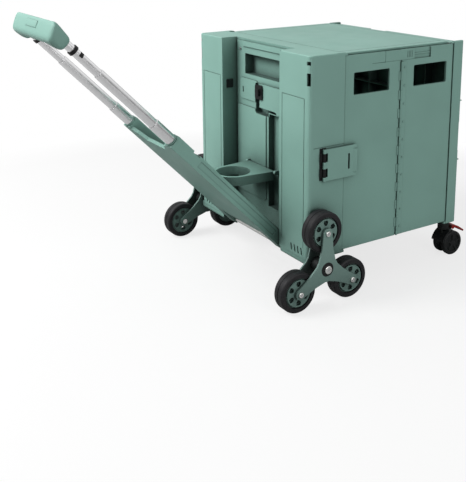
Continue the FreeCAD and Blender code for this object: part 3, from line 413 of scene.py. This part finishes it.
def spring_buttons():
    """Low black stop button on each upper tube, just below its ring."""
    tube_r, edge_r, face_r = 7.8, 7.7, 7.92
    span = math.radians(80)
    facing = {"left": math.radians(90), "right": math.radians(150)}
    profile = ((edge_r, -19.0), (face_r, -18.7), (face_r, -11.3), (edge_r, -11.0))
    for side, sign in SIDES:
        centre = middle("tube_rings")
        centre.y = sign * (half_width("inner_tubes") - tube_r) * MM
        rings = [arc(centre + TUBE_LINE * along * MM, radius * MM, Y_AXIS, TUBE_DEPTH, 15,
                     facing[side] - span / 2, span) for radius, along in profile]
        lofted_piece("spring_button_" + side, rings, "handle_top", "black_plastic")


# ---------------------------------------------------------------- stair wheel discs

SPOKES = 6
SPOKE_TURN = 360.0 / SPOKES
DISC_RADII = (9.5, 13.5, 16.0, 21.5, 24.0, 27.0)
CELL_TURNS = (-30.0, -15.0, -11.0, 0.0, 11.0, 15.0)
WINDOW_CELLS = {1: (2, 3), 2: (1, 2, 3, 4), 3: (2, 3)}


def spoke_disc(centre, y, dish):
    """One pierced disc as a sheet of polar cells at depth y, its rim dished by that much."""
    cells = len(CELL_TURNS)
    count = SPOKES * cells
    points = []
    for radius in DISC_RADII:
        depth = y + dish if radius == DISC_RADII[-1] else y
        for i in range(count):
            angle = math.radians(SPOKE_TURN * (i // cells) + SPOKE_TURN / 2 + CELL_TURNS[i % cells])
            x = centre.x + radius * MM * math.cos(angle)
            z = centre.z + radius * MM * math.sin(angle)
            points.append(Vector((x, depth, z)))
    faces = []
    for ring in range(len(DISC_RADII) - 1):
        near, far = ring * count, (ring + 1) * count
        for i in range(count):
            j = (i + 1) % count
            if i % cells not in WINDOW_CELLS.get(ring, ()):
                faces.append((near + i, near + j, far + j, far + i))
    return points, faces


def thicken(obj, thickness, edge):
    """Give a sheet its thickness and soft edges."""
    solid = obj.modifiers.new("thickness", "SOLIDIFY")
    solid.thickness = thickness
    solid.offset = 0.0
    soften = obj.modifiers.new("edges", "BEVEL")
    soften.width = edge
    soften.segments = 2
    soften.limit_method = "ANGLE"


def rim_faces():
    """Pierced green spoke discs near both faces of every stair wheel."""
    inner_depth, outer_depth, dish = 3.4 * MM, 1.4 * MM, 0.6 * MM
    for side, sign in SIDES:
        for wheel in WHEELS:
            name = side + "_" + wheel
            centre = Vector(JOINTS["wheel_" + name + "_spin"]["pos_m"])
            y, half = middle("tyre_" + name).y, half_width("tyre_" + name) * MM
            points, faces = spoke_disc(centre, y - sign * (half - inner_depth), -sign * dish)
            start = len(points)
            outer = spoke_disc(centre, y + sign * (half - outer_depth), sign * dish)
            points += outer[0]
            faces += [tuple(start + i for i in face) for face in outer[1]]
            disc = new_piece("rim_face_" + name, points, faces, "wheel_" + name, "green_rim")
            thicken(disc, 2.0 * MM, 0.5 * MM)


# ---------------------------------------------------------------- grip and its button

FOOT_ABOVE_TUBES = 47.0


def handle_ring(outline, y):
    """Place an outline of (depth across the tubes, height over the grip's foot) at y, all mm."""
    foot = middle("inner_tubes") + TUBE_LINE * FOOT_ABOVE_TUBES * MM
    return [foot + (TUBE_DEPTH * depth + TUBE_LINE * height + Y_AXIS * y) * MM
            for depth, height in outline]


def grip_section(foot):
    """Side outline of the grip; foot is the height of its underside."""
    back_lean, front_lean, corner = 0.133, 0.102, 10.0
    return rounded([(-15.6 - foot * back_lean, foot), (-19, 25), (-16, 33), (-5, 39), (7, 44),
                    (13, 44.5), (15, 38), (10 + foot * front_lean, foot)], corner)


def grip_stations(half):
    """(y, inset, foot) along the bar: round end, ramp up to the finger arch, then mirrored."""
    end_round, end_steps, ramp_steps = 11.0, 7, 6
    arch_in, arch_out, arch_rise = 66.0, 80.0, 18.0
    stations = []
    for k in range(end_steps + 1):
        angle = math.pi / 2 * (1 - k / end_steps)
        inset = end_round * (1 - math.cos(angle))
        stations.append((-half + end_round * (1 - math.sin(angle)), inset, 0.0))
    for k in range(ramp_steps + 1):
        t = k / ramp_steps
        y = -arch_out + (arch_out - arch_in) * t
        stations.append((y, 0.0, arch_rise * t * t * (3 - 2 * t)))
    return stations + [(-y, inset, foot) for y, inset, foot in reversed(stations)]


def make_grip():
    """Grip bar with soft corners, round ends and a raised middle for the fingers."""
    centre, half_size = (-2.5, 23.0), (17.0, 23.0)
    rings = []
    for y, inset, foot in grip_stations(half_width("grip_back")):
        outline = [[c + (value - c) * (1 - inset / half)
                    for value, c, half in zip(point, centre, half_size)]
                   for point in grip_section(foot)]
        rings.append(handle_ring(outline, y))
    grip = lofted_piece("grip_cover", rings, "handle_top", "green_plastic", smooth=True)
    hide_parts("grip_back", "grip_front")


def make_grip_button():
    """Release button: a soft-edged slab in the slanted top of the grip."""
    corners, centre = [(-6, 31), (-6, 39.8), (6, 44.9), (6, 33)], (0, 35)
    half = half_width("grip_button")
    stations = [(-half, 1.4), (-half + 0.5, 0.4), (-half + 1.5, 0.0)]
    rings = []
    for y, inset in stations + [(-y, inset) for y, inset in reversed(stations)]:
        smaller = [[value - math.copysign(inset, value - c) for value, c in zip(corner, centre)]
                   for corner in corners]
        rings.append(handle_ring(rounded(smaller, 1.5, 3), y))
    button = lofted_piece("grip_button_cover", rings, "grip_button", "green_plastic", smooth=True)
    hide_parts("grip_button")


# ---------------------------------------------------------------- stage

def floor_material():
    """Pale studio floor: the camera sees it near white, and whiter away from the trolley;
    bounces and reflections see it greyer."""
    bounce, mirrored, least_glow = grey(0.22), grey(0.55), 0.75
    n = Surface("pale_floor")
    path = n.add("ShaderNodeLightPath")
    camera_ray = path.outputs["Is Camera Ray"]
    seen = n.ramp(n.noise(3.0, 2.0), ((0.3, 0.95), (0.7, 0.97)))
    unseen = n.mix(path.outputs["Is Glossy Ray"], bounce, mirrored)
    n.set(Base_Color=n.mix(camera_ray, unseen, seen), Roughness=0.62, Specular_IOR_Level=0.1)
    reach = n.add("ShaderNodeVectorMath", operation="LENGTH")
    n.link(n.place, reach.inputs[0])
    far = n.ramp(n.maths("MULTIPLY", reach.outputs["Value"], 0.25), ((0.1, 0.0), (0.3, 1.0)))
    share = n.maths("MULTIPLY", camera_ray, n.maths("MAXIMUM", far, least_glow))
    glow = n.add("ShaderNodeEmission")
    mixed = n.mix_shaders(share, n.shader.outputs["BSDF"], glow.outputs["Emission"])
    n.link(mixed, n.output.inputs["Surface"])
    return n.material


def make_floor():
    reach = 14.0
    corners = [(-reach, -reach, 0), (reach, -reach, 0), (reach, reach, 0), (-reach, reach, 0)]
    add_object("studio_floor",
                        new_mesh("studio_floor", corners, [(0, 1, 2, 3)], floor_material()))


def area_light(name, place, target, size, power):
    light = bpy.data.lights.new(name, "AREA")
    light.shape = "DISK"
    light.size = size
    light.energy = power
    obj = add_object(name, light)
    obj.location = place
    obj.rotation_euler = (Vector(target) - Vector(place)).to_track_quat("-Z", "Y").to_euler()


def make_lights():
    area_light("key", (-1.84, 0.75, 1.95), (0.0, 0.0, 0.3), 1.4, 60.0)
    area_light("fill", (0.2, -2.5, 1.0), (0.1, 0.0, 0.3), 1.4, 15.0)


def make_world():
    """White backdrop for the camera, greyer walls in reflections, softer light for surfaces."""
    white, ambient, wall, above = grey(1.0), grey(0.31), 0.28, 1.0
    world = bpy.data.worlds.new("studio")
    bpy.context.scene.world = world
    world.use_nodes = True
    n = Nodes(world.node_tree)

    def background(colour):
        node = n.add("ShaderNodeBackground")
        n.plug(colour, node.inputs["Color"])
        return node.outputs["Background"]

    path = n.add("ShaderNodeLightPath")
    camera_ray, glossy_ray = path.outputs["Is Camera Ray"], path.outputs["Is Glossy Ray"]
    split = n.add("ShaderNodeSeparateXYZ")
    n.link(n.add("ShaderNodeTexCoord").outputs["Generated"], split.inputs[0])
    walls = n.ramp(n.maths("ABSOLUTE", split.outputs["Z"]), ((0.06, wall), (0.42, above)))
    sharp = n.mix_shaders(camera_ray, background(walls), background(white))
    seen = n.maths("MAXIMUM", camera_ray, glossy_ray)
    output = n.add("ShaderNodeOutputWorld")
    n.link(n.mix_shaders(seen, background(ambient), sharp), output.inputs["Surface"])


CAMERA_PLACE = Vector((-0.858, -1.350, 0.710))
AZIMUTH, ELEVATION, ROLL = (math.radians(angle) for angle in (-31.62, 12.08, -0.53))
LENS, SENSOR = 58.97, 36.0
SHIFT_X, SHIFT_Y = -0.0029, -0.2952


def drive_shift(camera, obj):
    """Apply the vertical lens shift only while the camera stands at its own viewpoint."""
    driver = camera.driver_add("shift_y").driver
    driver.type = "SCRIPTED"
    variable = driver.variables.new()
    variable.name = "x"
    variable.type = "TRANSFORMS"
    variable.targets[0].id = obj
    variable.targets[0].transform_type = "LOC_X"
    driver.expression = f"{SHIFT_Y} if abs(x - ({CAMERA_PLACE.x:.6f})) < 0.001 else 0.0"


def make_camera():
    """Long-lens view from the handle side, a little above the crate, shifted down."""
    camera = bpy.data.cameras.new("camera")
    camera.sensor_width = SENSOR
    camera.lens = LENS
    camera.shift_x = SHIFT_X
    camera.clip_end = 60.0
    back = Vector((math.sin(AZIMUTH) * math.cos(ELEVATION),
                   -math.cos(AZIMUTH) * math.cos(ELEVATION), math.sin(ELEVATION)))
    right = Z_AXIS.cross(back).normalized()
    up = back.cross(right)
    rolled_right = right * math.cos(ROLL) + up * math.sin(ROLL)
    rolled_up = up * math.cos(ROLL) - right * math.sin(ROLL)
    matrix = Matrix((rolled_right, rolled_up, back)).transposed().to_4x4()
    matrix.translation = CAMERA_PLACE
    obj = add_object("camera", camera)
    obj.matrix_world = matrix
    bpy.context.scene.camera = obj
    drive_shift(camera, obj)


dress_nodes()
axle_washers()
hex_sockets()
spring_buttons()
rim_faces()
make_grip()
make_grip_button()
make_floor()
make_world()
make_lights()
make_camera()
bpy.context.scene.view_settings.view_transform = "Standard"
